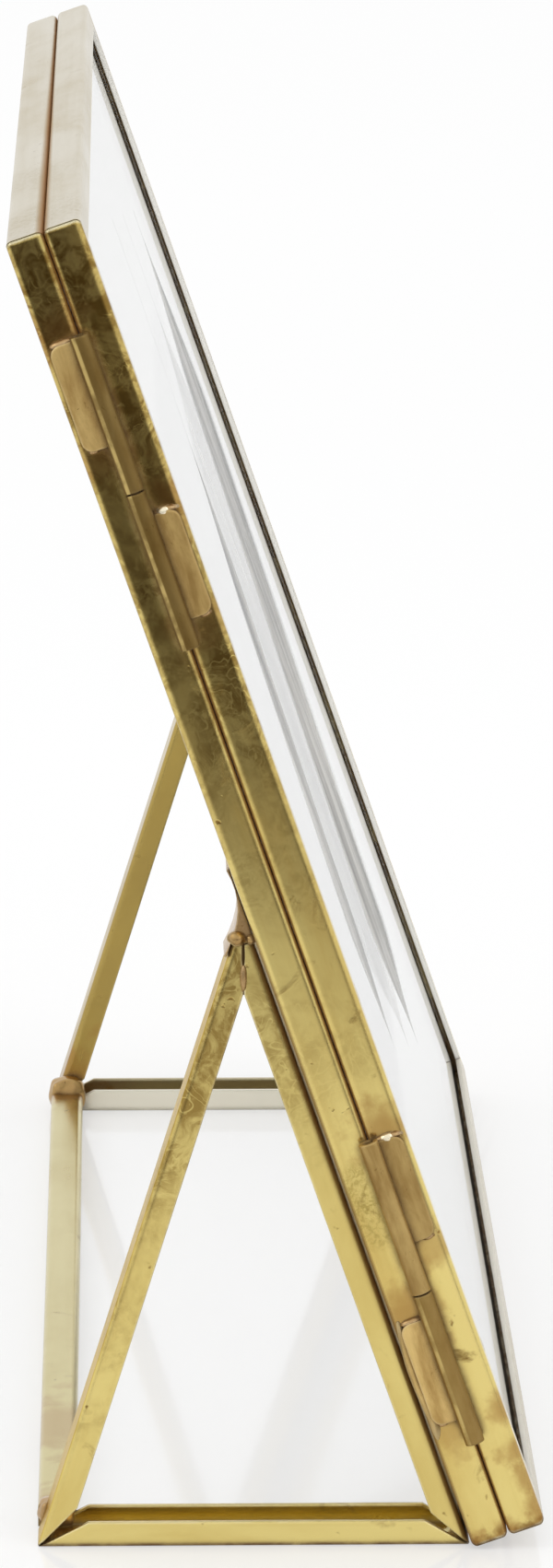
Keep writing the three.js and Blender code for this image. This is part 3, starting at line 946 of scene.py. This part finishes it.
print(len(corner_halos + tab_halos + edge_halos), "halos,", len(stile_spots + rail_spots), "spots of crust")

# %% [markdown]
# The leaves are the oldest looking brass: bright yellow at the foot, brown towards the top with patina and
# painted shade, with orange halos beside the hinge tabs and brown corners. Rails and stiles are the same
# metal drawn in two directions, so they differ in the turn of the coordinates and in how much they aged.

# %% Finish: leaf brass
TURN_ACROSS = (0.0, math.radians(90), 0.0)
LEAF_TONES = ((0.76, 0.615, 0.225), (0.57, 0.385, 0.10), (0.22, 0.125, 0.03), (0.93, 0.86, 0.58))
RAIL_TONES = ((0.49, 0.42, 0.26), (0.46, 0.37, 0.19), (0.30, 0.20, 0.07), (0.86, 0.79, 0.55))
# The brown high on the leaves is partly patina and partly painted shade for the dim room they reflect.
UPPER_SHADE_BROWN = (0.26, 0.16, 0.036, 1)
LEAF_CLIMB = (0.042, 0.118, UPPER_SHADE_BROWN)
STILE_SEAM = 0.35 * MILLIMETRE
RAIL_SEAM_HINGE_SIDE = 0.85 * MILLIMETRE
RAIL_SEAM_CATCH_SIDE = 0.3 * MILLIMETRE
STILE_CONTACT = 0.45 * MILLIMETRE

stile_slot = slot_layer(STILE_SEAM, STILE_SEAM)
rail_slot = slot_layer(RAIL_SEAM_HINGE_SIDE, RAIL_SEAM_CATCH_SIDE)
stile_brass = brass_recipe(
    "leaf_stile_brass", TURN_ALONG_LEAF, LEAF_TONES, age=0.36, spots=0.36, dull=0.1,
    halos=corner_halos + tab_halos + edge_halos, climb=LEAF_CLIMB,
    layers=(contact_shade_layer(STILE_CONTACT, 1.0), foot_layer, crust_layer(stile_spots), stile_slot),
)
rail_brass = brass_recipe(
    "leaf_rail_brass", TURN_ACROSS, RAIL_TONES, age=0.36, spots=0.32, dull=0.14,
    halos=corner_halos, layers=(crust_layer(rail_spots), rail_slot),
)
dress(stile_brass, "back_hinge_bar", "back_catch_bar", "front_hinge_bar", "front_catch_bar")
dress(rail_brass, "back_top_bar", "back_bottom_bar", "front_top_bar", "front_bottom_bar")

# %% [markdown]
# The stand is the same channel, a little wider and cleaner, because hands seldom touch it. Heat browned it
# round the cross bar, at both ends and in one patch. The slope of the struts is read from their boxes.

# %% Mark the heat on the stand
NEAR_CORNER_HALO = (6.0 * MILLIMETRE, 0.5)
FAR_CORNER_HALO = (9.0 * MILLIMETRE, 0.85)
CROSS_PATCH_HALO = (12.0 * MILLIMETRE, 0.5)
CROSS_PATCH_SHARE = 0.34

strut_low, strut_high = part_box("near_stand_strut")
strut_lean = math.atan2(strut_high.y - strut_low.y, strut_high.z - strut_low.z)
cross_low, cross_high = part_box("stand_cross_bar")
cross_middle = (cross_low + cross_high) / 2
near_corner = Vector((cross_low.x, cross_middle.y, cross_middle.z))
far_corner = Vector((cross_high.x, cross_middle.y, cross_middle.z))
cross_patch = cross_middle - Vector((CROSS_PATCH_SHARE * (cross_high.x - cross_low.x), 0, 0))
stand_halos = [
    (near_corner, *NEAR_CORNER_HALO), (far_corner, *FAR_CORNER_HALO), (cross_patch, *CROSS_PATCH_HALO),
]
print("struts lean", round(math.degrees(strut_lean), 2), "degrees")

# %% [markdown]
# Each bar of the stand lies in its own direction, so each has its own brass. The near bars are bright, and
# two of them turn golden at a grazing angle. The far triangle is duller, and its base bar carries a painted
# reflection of the white table that makes pale the face that looks towards the hinge side.

# %% Finish: stand brass
TURN_ALONG_STRUT = (strut_lean, 0.0, 0.0)
TURN_REARWARD = (math.radians(-90), 0.0, 0.0)
STAND_TONES = ((0.76, 0.625, 0.235), (0.58, 0.42, 0.12), (0.22, 0.13, 0.03), (0.85, 0.75, 0.45))
FAR_TONES = ((0.47, 0.345, 0.10), (0.38, 0.265, 0.08), (0.20, 0.12, 0.03), (0.62, 0.50, 0.22))
FAR_BASE_TONES = ((0.58, 0.51, 0.33), (0.48, 0.41, 0.24), (0.26, 0.19, 0.09), (0.72, 0.65, 0.45))
CROSS_TONES = ((0.61, 0.53, 0.24), (0.53, 0.435, 0.175), (0.24, 0.15, 0.05), (0.84, 0.75, 0.47))
# The brown high on the stand is partly patina and partly painted shade, as on the leaves.
STRUT_SHADE_BROWN = (0.33, 0.22, 0.06, 1)
STRUT_CLIMB = (0.008, 0.056, STRUT_SHADE_BROWN)
FRONT_BAR_CLIMB = (0.03, 0.09, STRUT_SHADE_BROWN)
FRONT_BAR_CONTACT = 1.3 * MILLIMETRE
GRAZING_GOLD = (0.80, 0.65, 0.32, 1)
# A painted reflection of the white table on the near face of the far base bar.
NEAR_FACE_REFLECTION_PALE = (0.80, 0.76, 0.64, 1)

front_bar_layers = (contact_shade_layer(FRONT_BAR_CONTACT, 0.25),)
far_base_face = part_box("far_stand_base_bar")[0].x
stand_finishes = {
    "near_stand_strut": brass_recipe(
        "near_strut_brass", TURN_ALONG_STRUT, STAND_TONES, age=0.38, spots=0.34, dull=0.1,
        halos=stand_halos, climb=STRUT_CLIMB, edge_tint=GRAZING_GOLD,
    ),
    "near_stand_front_bar": brass_recipe(
        "near_front_brass", TURN_ALONG_LEAF, STAND_TONES, age=0.36, spots=0.34, dull=0.1,
        halos=stand_halos, climb=FRONT_BAR_CLIMB, layers=front_bar_layers, edge_tint=GRAZING_GOLD,
    ),
    "near_stand_base_bar": brass_recipe(
        "near_base_brass", TURN_REARWARD, STAND_TONES, age=0.32, spots=0.34, dull=0.1, halos=stand_halos,
    ),
    "far_stand_strut": brass_recipe(
        "far_strut_brass", TURN_ALONG_STRUT, FAR_TONES, age=0.4, spots=0.3, dull=0.16, halos=stand_halos,
    ),
    "far_stand_front_bar": brass_recipe(
        "far_front_brass", TURN_ALONG_LEAF, FAR_TONES, age=0.4, spots=0.3, dull=0.16,
        layers=front_bar_layers,
    ),
    "far_stand_base_bar": brass_recipe(
        "far_base_brass", TURN_REARWARD, FAR_BASE_TONES, age=0.4, spots=0.3, dull=0.22,
        halos=stand_halos, layers=(near_face_reflection_layer(far_base_face, NEAR_FACE_REFLECTION_PALE),),
    ),
    "stand_cross_bar": brass_recipe(
        "cross_brass", TURN_ACROSS, CROSS_TONES, age=0.34, spots=0.32, dull=0.16, halos=stand_halos,
    ),
}
for solid, finish in stand_finishes.items():
    dress(finish, solid)

# %% [markdown]
# The hinges were cut from other sheet and heated from end to end, so they are matt and copper tan with
# darker patches. The back hinges take a lighter copy of the tones, which paints light on their tabs. The pins
# inside are plainer and keep a little grease.

# %% Finish: hinges and pins
HINGE_TONES = ((0.66, 0.465, 0.18), (0.31, 0.185, 0.055), (0.17, 0.09, 0.027), (0.64, 0.46, 0.2))
# A lighter copy of the hinge tones: painted light for the back tabs.
BACK_HINGE_LIT_TONES = ((0.77, 0.56, 0.225), (0.44, 0.275, 0.09), (0.20, 0.11, 0.03), (0.78, 0.60, 0.30))
LOWER_HINGE_TONES = ((0.52, 0.365, 0.14), (0.30, 0.18, 0.055), (0.17, 0.09, 0.027), (0.60, 0.43, 0.18))
PIN_TONES = ((0.42, 0.31, 0.12), (0.2, 0.14, 0.05), (0.12, 0.07, 0.025), (0.55, 0.42, 0.19))
HINGE_WEAR = {"age": 0.46, "spots": 0.32, "dull": 0.4, "grain": 5.0}

front_hinge_brass = brass_recipe(
    "front_hinge_brass", TURN_ALONG_LEAF, HINGE_TONES, layers=(barrel_layer,), **HINGE_WEAR,
)
back_hinge_lit_brass = brass_recipe(
    "back_hinge_lit_brass", TURN_ALONG_LEAF, BACK_HINGE_LIT_TONES, layers=(barrel_layer,), **HINGE_WEAR,
)
lower_hinge_brass = brass_recipe("lower_hinge_brass", TURN_ALONG_LEAF, LOWER_HINGE_TONES, **HINGE_WEAR)
pin_brass = brass_recipe("pin_brass", TURN_ALONG_LEAF, PIN_TONES, age=0.5, spots=0.34, dull=0.2)
dress(front_hinge_brass, "upper_front_knuckle", "closing_tongue")
dress(lower_hinge_brass, "lower_front_knuckle")
dress(back_hinge_lit_brass, "upper_back_knuckle", "lower_back_knuckle")
dress(pin_brass, "upper_hinge_pin", "lower_hinge_pin")

# %% [markdown]
# The solder has run and set: pinkish and smooth where it stayed clean and brown where it was heated twice.
# An almost silver copy paints the highlight on some drops, and a near black one paints the shade in the open
# mitres. The four share the recipe in their own tones.

# %% Finish: solder, painted highlight and painted shade
SOLDER_TONES = ((0.52, 0.35, 0.17), (0.36, 0.22, 0.085), (0.18, 0.1, 0.04), (0.70, 0.53, 0.32))
REHEATED_TONES = ((0.46, 0.30, 0.12), (0.31, 0.185, 0.065), (0.13, 0.07, 0.025), (0.62, 0.45, 0.2))
# Almost silver drops that paint the highlight on the front beads.
HIGHLIGHT_SOLDER_TONES = ((0.93, 0.84, 0.62), (0.74, 0.58, 0.34), (0.36, 0.22, 0.09), (0.96, 0.9, 0.74))
# Near black, for the strip that paints the shade in each open mitre.
MITRE_SHADE_TONES = ((0.075, 0.045, 0.018), (0.05, 0.03, 0.012), (0.03, 0.02, 0.01), (0.12, 0.075, 0.03))
SOLDER_GRAIN = 2.0


def solder_recipe(name, tones, age, spots, dull):
    """A metal that ran and set, finer in grain than the bars."""
    return brass_recipe(name, TURN_ALONG_LEAF, tones, age, spots, dull, grain=SOLDER_GRAIN)


solder = solder_recipe("solder", SOLDER_TONES, age=0.4, spots=0.34, dull=0.14)
reheated = solder_recipe("reheated_solder", REHEATED_TONES, age=0.4, spots=0.34, dull=0.1)
highlight_solder = solder_recipe("painted_highlight_solder", HIGHLIGHT_SOLDER_TONES, age=0.3, spots=0.3, dull=0.04)
mitre_shade_finish = solder_recipe("mitre_shade_black", MITRE_SHADE_TONES, age=0.4, spots=0.34, dull=0.45)
dress(solder, "near_apex_solder", "far_apex_solder")

# %% [markdown]
# The panes are 2 mm float glass, clear and strongly mirrored at a grazing angle. Alpha is nought for the
# light on its way to the card, which real glass lets through as well, and a faint uneven smear keeps the
# surface from being perfect.

# %% Finish: glass
GLASS_TINT = (0.97, 0.99, 0.98, 1)
REFRACTIVE_INDEX = 1.5
SMEAR_SCALE = 28.0
SMEAR_ROUGHNESS = 0.035

glass, glass_tree, pane = new_finish("float_glass")
fill(pane, Base_Color=GLASS_TINT, Metallic=0.0, IOR=REFRACTIVE_INDEX, Transmission_Weight=1.0)
smear = noise(turned_coordinates(glass_tree, TURN_ALONG_LEAF), SMEAR_SCALE, 5.0, 0.6, 1.2)
smear_mask = fade(smear, 0.55, 0.85, 0.0, SMEAR_ROUGHNESS)
fill(pane, Alpha=seen_directly(glass_tree), Roughness=smear_mask)
dress(glass, "back_glass", "front_glass")

# %% [markdown]
# The card carries a plain landscape of soft grey hills inside a white margin, on its front only. Each hill
# is the area under a wandering line, so one group draws them all at their own height and grey.

# %% Group: hill line
HILL_BLUR = 0.3 * MILLIMETRE

hill_line, across, up, crest, swing, pace, start = start_group(
    "Hill line", Across=NUMBER, Up=NUMBER, Crest=NUMBER, Swing=NUMBER, Pace=NUMBER, Start=NUMBER,
)
paced = plus(times(across, pace), start)
wander = new_node("TexNoise", paced)
wander.noise_dimensions = "1D"
fill(wander, Scale=1.0, Detail=3.0, W=paced)
crest_here = plus(times(wander.outputs["Fac"], swing), crest)
under = minus(crest_here, up)
finish_group(hill_line, Mask=fade(under, -HILL_BLUR, HILL_BLUR))

# %% [markdown]
# The hills are painted from the back to the front, each lower, calmer and darker than the one behind it. The
# card itself is matt paper, whose fine fibres tone, roughen and raise it a little.

# %% Finish: printed card
PAPER = (0.88, 0.88, 0.87, 1)
PAPER_FIBRE = (0.85, 0.85, 0.84, 1)
FIBRE_SCALE = 900.0
FIBRE_RISE = 0.02 * MILLIMETRE
FIBRE_STRENGTH = 0.15
PAPER_SHEEN = 0.25
SKY_LOW = (0.70, 0.70, 0.70, 1)
SKY_HIGH = (0.55, 0.55, 0.55, 1)
HILL_GREYS = (0.46, 0.36, 0.26, 0.18)
HILL_TOP_SHARE = 0.25
HILL_DROP_SHARE = 0.42
HILL_SWING = 30.0 * MILLIMETRE
HILL_CALM = 4.0 * MILLIMETRE
HILL_PACE = 26.0
HILL_PACE_STEP = 9.0
HILL_START_STEP = 3.7
MARGIN_SHARE = 0.2

card_foot, card_top = reach_along("picture_card", leaf_up, leaf_centre)
card_front, card_back = reach_along("picture_card", leaf_rearward, leaf_centre)
card_low, card_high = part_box("picture_card")
print_half_width = (card_high.x - card_low.x) / 2 * (1 - 2 * MARGIN_SHARE)
print_half_height = (card_top - card_foot) / 2 * (1 - 2 * MARGIN_SHARE)

card, card_tree, paper = new_finish("printed_card")
card_place = leaf_coordinates(card_tree)
across, behind, up = axis_values(card_place)
picture = blend_colour(fade(up, 0.0, print_half_height), SKY_LOW, SKY_HIGH)
for step, grey in enumerate(HILL_GREYS):
    hill = place_group(
        hill_line, Across=across, Up=up,
        Crest=print_half_height * (HILL_TOP_SHARE - HILL_DROP_SHARE * step),
        Swing=HILL_SWING - HILL_CALM * step, Pace=HILL_PACE + HILL_PACE_STEP * step,
        Start=HILL_START_STEP * step,
    )
    picture = blend_colour(hill["Mask"], picture, (grey, grey, grey, 1))
in_panel = times(inside(unsigned(across), print_half_width), inside(unsigned(up), print_half_height))
on_front = inside(behind, (card_front + card_back) / 2)
fibre = noise(card_place, FIBRE_SCALE, 4.0)
paper_tone = blend_colour(fade(fibre, 0.3, 0.7), PAPER_FIBRE, PAPER)
printed = blend_colour(times(in_panel, on_front), paper_tone, picture)
paper_bump = fill(new_node("Bump", fibre), Height=fibre)
fill(paper_bump, Strength=FIBRE_STRENGTH, Distance=FIBRE_RISE)
fill(
    paper, Base_Color=printed, Roughness=fade(fibre, 0.3, 0.7, 0.55, 0.72),
    Specular_IOR_Level=PAPER_SHEEN, Normal=paper_bump.outputs["Normal"],
)
dress(card, "picture_card")

# %% [markdown]
# Each tab is held by drops of solder that ran along its edge and set. A drop is a sphere cut flat below,
# with its foot drawn out where the metal wetted the brass, then roughened a little and smoothed. It is
# modelled once at a plain size, and every joint gets its own stretched copy.

# %% Model: drop of solder
DROP_CUT = -0.1
FOOT_DEPTH = 0.22
FOOT_FLARE = 1.45
FACING_DOWN = -0.9
SMOOTH_STEPS = 2


def smooth_model(model):
    """Round the active model by dividing its faces, and shade it smoothly."""
    smoothing = model.modifiers.new("smooth", "SUBSURF")
    smoothing.levels = SMOOTH_STEPS
    smoothing.render_levels = SMOOTH_STEPS
    bpy.ops.object.modifier_apply(modifier="smooth")
    bpy.ops.object.shade_smooth()
    print("model of", len(model.data.polygons), "faces")


bpy.ops.mesh.primitive_uv_sphere_add(segments=18, ring_count=10, radius=1.0)
drop_model = bpy.context.active_object
bpy.ops.object.mode_set(mode="EDIT")
bpy.ops.mesh.select_all(action="SELECT")
bpy.ops.mesh.bisect(plane_co=(0, 0, DROP_CUT), plane_no=(0, 0, 1), use_fill=True, clear_inner=True)
bpy.ops.mesh.select_all(action="SELECT")
bpy.ops.transform.vertex_random(offset=0.1, uniform=0.5, normal=0.5, seed=4)
bpy.ops.mesh.select_all(action="DESELECT")
bpy.ops.object.mode_set(mode="OBJECT")
for face in drop_model.data.polygons:
    face.select = face.normal.z < FACING_DOWN
bpy.ops.object.mode_set(mode="EDIT")
bpy.ops.mesh.select_mode(type="FACE")
bpy.ops.mesh.extrude_region_move(TRANSFORM_OT_translate={"value": (0, 0, -FOOT_DEPTH)})
bpy.ops.transform.resize(value=(FOOT_FLARE, FOOT_FLARE, 1.0))
bpy.ops.object.mode_set(mode="OBJECT")
smooth_model(drop_model)

# %% [markdown]
# A copy is turned so that its flat foot lies on the brass, stretched along the edge it sits on, and its
# place is then applied to its mesh, as on every solid of this frame. Each tab has a bead above and a dab
# below, and the front ones a pale drop on the bead that paints its highlight.

# %% Place the drops on the tabs
BACK = "back_leaf_and_stand"
FRONT = "front_leaf"
WEB_LIFT = 0.05 * MILLIMETRE
BEAD = millimetres(1.25, 0.42, 0.48)
BEAD_SHARE = 0.56
HIGHLIGHT_DROP = millimetres(0.85, 0.48, 0.56)
DAB = millimetres(0.55, 0.3, 0.3)
DAB_SHARE = 0.72

outward = Vector((-1, 0, 0))


def on_web(behind, up):
    """A point a hair off the web of the leaves on their hinge side."""
    spot = on_leaf(0, behind, up)
    spot.x = hinge_face - WEB_LIFT
    return spot


def place_copy(model, name, spot, along, out, size, body, finish):
    """A copy of a model on this spot, stretched along one direction and standing up along another."""
    bpy.ops.object.select_all(action="DESELECT")
    model.select_set(True)
    bpy.context.view_layer.objects.active = model
    bpy.ops.object.duplicate(linked=False)
    piece = bpy.context.active_object
    piece.name = name
    turn = Matrix((along, out.cross(along), out)).transposed().to_4x4()
    piece.matrix_world = Matrix.Translation(spot) @ turn @ Matrix.Diagonal((*size, 1.0))
    bpy.ops.object.transform_apply(location=True, rotation=True, scale=True)
    piece.data.materials.append(finish)
    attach(piece, body)
    print(name, "on", body)


for tab, (outer, low, high) in tabs.items():
    body = BACK if tab.endswith("back") else FRONT
    at_top = on_web(BEAD_SHARE * outer, high)
    at_foot = on_web(DAB_SHARE * outer, low)
    place_copy(drop_model, tab + "_tab_bead", at_top, leaf_rearward, outward, BEAD, body, solder)
    if body == FRONT:
        place_copy(drop_model, tab + "_highlight_drop", at_top, leaf_rearward, outward, HIGHLIGHT_DROP, body, highlight_solder)
    place_copy(drop_model, tab + "_tab_dab", at_foot, leaf_rearward, outward, DAB, body, solder)

# %% [markdown]
# The lower back tab runs out into a thin skirt of solder along its outer edge. It is a drop too, drawn out
# a little longer than the tab and hardly raised, in the colour of the hinge.

# %% Place the skirt on the lower back tab
SKIRT_SHARE = 0.46
SKIRT_WIDTH = 0.62 * MILLIMETRE
SKIRT_HEIGHT = 0.15 * MILLIMETRE

outer, low, high = tabs["lower_back"]
skirt = (SKIRT_SHARE * (high - low), SKIRT_WIDTH, SKIRT_HEIGHT)
skirt_spot = on_web(outer, (low + high) / 2)
place_copy(drop_model, "lower_back_tab_skirt", skirt_spot, leaf_up, outward, skirt, BACK, back_hinge_lit_brass)

# %% [markdown]
# Where a strut, a base bar and the cross bar meet, the solder is a lump that fills the end of the cross bar.
# A finely divided cube, drawn most of the way towards a sphere and roughened, keeps a hint of the square
# corner it fills.

# %% Model: corner lump
bpy.ops.mesh.primitive_cube_add(size=2.0)
lump_model = bpy.context.active_object
bpy.ops.object.mode_set(mode="EDIT")
bpy.ops.mesh.select_all(action="SELECT")
bpy.ops.mesh.subdivide(number_cuts=4)
bpy.ops.transform.tosphere(value=0.62)
bpy.ops.transform.vertex_random(offset=0.14, uniform=0.4, normal=0.6, seed=11)
bpy.ops.mesh.vertices_smooth(factor=0.4, repeat=1)
bpy.ops.object.mode_set(mode="OBJECT")
smooth_model(lump_model)

# %% [markdown]
# The lumps take their size from the cross bar. The far one was heated twice, so it is larger, browner and
# stands higher.

# %% Place the corner lumps
upward = Vector((0, 0, 1))
rearward = Vector((0, 1, 0))
cross_half = (cross_high.y - cross_low.y) / 2
NEAR_LUMP = (0.92 * cross_half, 1.5 * MILLIMETRE, 0.735 * cross_half)
NEAR_SHIFT = Vector(millimetres(0.3, 0, 0.2))
FAR_LUMP = (1.04 * cross_half, 1.7 * MILLIMETRE, 1.0 * cross_half)
FAR_SHIFT = Vector(millimetres(-0.2, 0, 0.9))

near_spot = near_corner + NEAR_SHIFT
far_spot = far_corner + FAR_SHIFT
place_copy(lump_model, "near_corner_lump", near_spot, rearward, upward, NEAR_LUMP, BACK, solder)
place_copy(lump_model, "far_corner_lump", far_spot, rearward, upward, FAR_LUMP, BACK, reheated)

# %% [markdown]
# At the apex of each triangle the strut meets the front bar in a mitre. Solder ran down the lower part of
# that line, and a near black strip sunk slightly into its upper part paints the shade of the open mitre. A
# lump and a dab sit on the top, tilted outwards. The two triangles are alike, so one loop serves both.

# %% Place the solder at the apexes
MITRE_LENGTH = 4.9 * MILLIMETRE
MITRE_DROP = (0.27 * MITRE_LENGTH, 0.36 * MILLIMETRE, 0.22 * MILLIMETRE)
MITRE_DROP_DOWN = 0.73 * MITRE_LENGTH
# The strip of painted shade in the upper part of the mitre.
MITRE_SHADE_SIZE = (0.28 * MITRE_LENGTH, 0.17 * MILLIMETRE, 0.12 * MILLIMETRE)
MITRE_SHADE_DOWN = 0.25 * MITRE_LENGTH
MITRE_SHADE_DEPTH = 0.04 * MILLIMETRE
APEX_LUMP = millimetres(0.85, 0.75, 0.65)
APEX_LUMP_SHIFT = Vector(millimetres(0, 0.6, 0.45))
APEX_DAB = millimetres(0.5, 0.5, 0.45)
APEX_DAB_SHIFT = Vector(millimetres(0, -0.75, 0.35))
APEX_TILT = 0.8

for side, facing_out in (("near", outward), ("far", -outward)):
    low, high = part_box(side + "_stand_strut")
    mitre = (low.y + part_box(side + "_stand_front_bar")[1].y) / 2
    outer_face = low.x if side == "near" else high.x
    top = Vector((outer_face, mitre, high.z))
    drop_spot = top - upward * MITRE_DROP_DOWN
    shade_spot = top - upward * MITRE_SHADE_DOWN - facing_out * MITRE_SHADE_DEPTH
    lump_spot = top + APEX_LUMP_SHIFT
    dab_spot = top + APEX_DAB_SHIFT
    half_up = (facing_out + APEX_TILT * upward).normalized()
    place_copy(drop_model, side + "_mitre_drop", drop_spot, upward, facing_out, MITRE_DROP, BACK, solder)
    place_copy(drop_model, side + "_mitre_shade", shade_spot, upward, facing_out, MITRE_SHADE_SIZE, BACK, mitre_shade_finish)
    place_copy(drop_model, side + "_apex_lump", lump_spot, rearward, half_up, APEX_LUMP, BACK, reheated)
    place_copy(drop_model, side + "_apex_dab", dab_spot, rearward, half_up, APEX_DAB, BACK, reheated)
bpy.data.objects.remove(drop_model)
bpy.data.objects.remove(lump_model)
